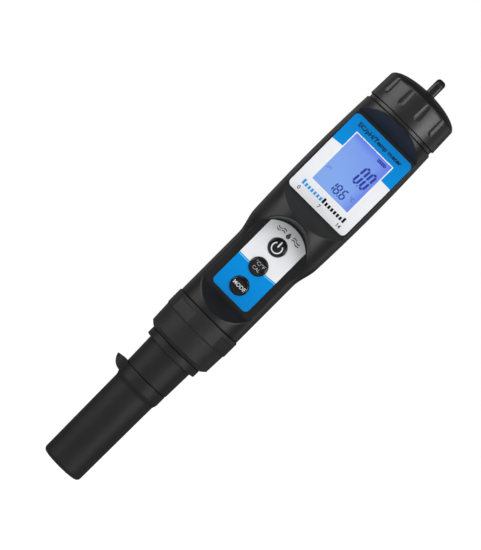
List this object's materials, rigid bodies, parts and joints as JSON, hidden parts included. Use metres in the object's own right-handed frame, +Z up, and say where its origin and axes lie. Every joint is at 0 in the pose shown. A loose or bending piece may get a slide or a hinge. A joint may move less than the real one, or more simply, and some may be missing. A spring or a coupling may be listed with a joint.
{
  "type": "water test pen",
  "caption": "Handheld water test pen with display, push keys, screw battery cap with lanyard eye, replaceable probe, turning collar and storage cap.",
  "frame": {"origin": "centre of the flat bottom of the storage cap", "axes": "+Z up the pen to the lanyard eye, display and keys facing -Y, storage cap tab pointing to -X"},
  "size_m": [0.036, 0.0357, 0.2162],
  "materials": {
    "body_plastic": "satin moulded plastic",
    "storage_plastic": "satin moulded plastic",
    "panel_print": "printed film",
    "clear_window": "clear polished",
    "display_glass": "backlit display",
    "key_plastic": "polished",
    "seal_rubber": "matt",
    "frame_plastic": "moulded",
    "guard_plastic": "moulded",
    "light_guide": "diffusing",
    "circuit_board": "solder mask",
    "chip_black": "moulded",
    "contact_metal": "plated",
    "pin_gold": "plated",
    "cell_wrap": "printed sleeve",
    "bulb_glass": "clear",
    "probe_steel": "polished",
    "graphite": "graphite",
    "frit": "porous",
    "sponge": "open foam"
  },
  "bodies": {
    "body": {"housing": "body_plastic", "chassis": "frame_plastic", "display_window": "clear_window", "display_overlay": "panel_print", "lcd_glass": "display_glass", "lcd_backlight": "light_guide", "lcd_frame": "frame_plastic", "zebra_strips": "seal_rubber", "keypad_overlay": "panel_print", "keypad_gasket": "seal_rubber", "main_board": "circuit_board", "board_components": "chip_black", "board_screws": "contact_metal", "tact_switches": "chip_black", "probe_socket": "chip_black", "bay_contacts": "contact_metal"},
    "power_key": {"power_button": "key_plastic"},
    "cal_key": {"cal_button": "key_plastic"},
    "mode_key": {"mode_button": "key_plastic"},
    "carrier": {"battery_carrier": "frame_plastic", "aaa_cell_1": "cell_wrap", "aaa_cell_2": "cell_wrap", "aaa_cell_3": "cell_wrap", "aaa_cell_4": "cell_wrap", "carrier_contacts": "contact_metal", "carrier_springs": "contact_metal"},
    "gasket": {"cap_gasket": "seal_rubber"},
    "cap": {"battery_cap": "body_plastic"},
    "probe": {"probe_body": "body_plastic", "probe_orings": "seal_rubber", "seat_oring": "seal_rubber", "probe_guard": "guard_plastic", "sensor_block": "frame_plastic", "ph_glass": "bulb_glass", "inner_electrode": "probe_steel", "reference_junction": "frit", "ec_electrodes": "graphite", "temperature_pin": "probe_steel", "probe_pins": "pin_gold"},
    "collar": {"probe_collar": "body_plastic"},
    "storage": {"storage_cap": "storage_plastic", "storage_sponge": "sponge"}
  },
  "joints": [
    {"name": "power_press", "type": "slide", "parent": "body", "child": "power_key", "axis": [0, 1, 0], "range_m": [0, 0.0006], "stiffness_N_per_m": 1200},
    {"name": "cal_press", "type": "slide", "parent": "body", "child": "cal_key", "axis": [0, 1, 0], "range_m": [0, 0.0006], "stiffness_N_per_m": 1200},
    {"name": "mode_press", "type": "slide", "parent": "body", "child": "mode_key", "axis": [0, 1, 0], "range_m": [0, 0.0006], "stiffness_N_per_m": 1200},
    {"name": "carrier_lift", "type": "slide", "parent": "body", "child": "carrier", "axis": [0, 0, 1], "range_m": [0, 0.11]},
    {"name": "cap_lift", "type": "slide", "parent": "carrier", "child": "gasket", "axis": [0, 0, 1], "range_m": [0, 0.03]},
    {"name": "cap_turn", "type": "hinge", "parent": "gasket", "child": "cap", "pos_m": [0, 0, 0.2], "axis": [0, 0, 1], "continuous": true},
    {"name": "probe_pull", "type": "slide", "parent": "body", "child": "probe", "axis": [0, 0, -1], "range_m": [0, 0.03]},
    {"name": "collar_turn", "type": "hinge", "parent": "probe", "child": "collar", "pos_m": [0, 0, 0.075], "axis": [0, 0, 1], "continuous": true},
    {"name": "storage_cap_pull", "type": "slide", "parent": "probe", "child": "storage", "axis": [0, 0, -1], "range_m": [0, 0.05]}
  ]
}
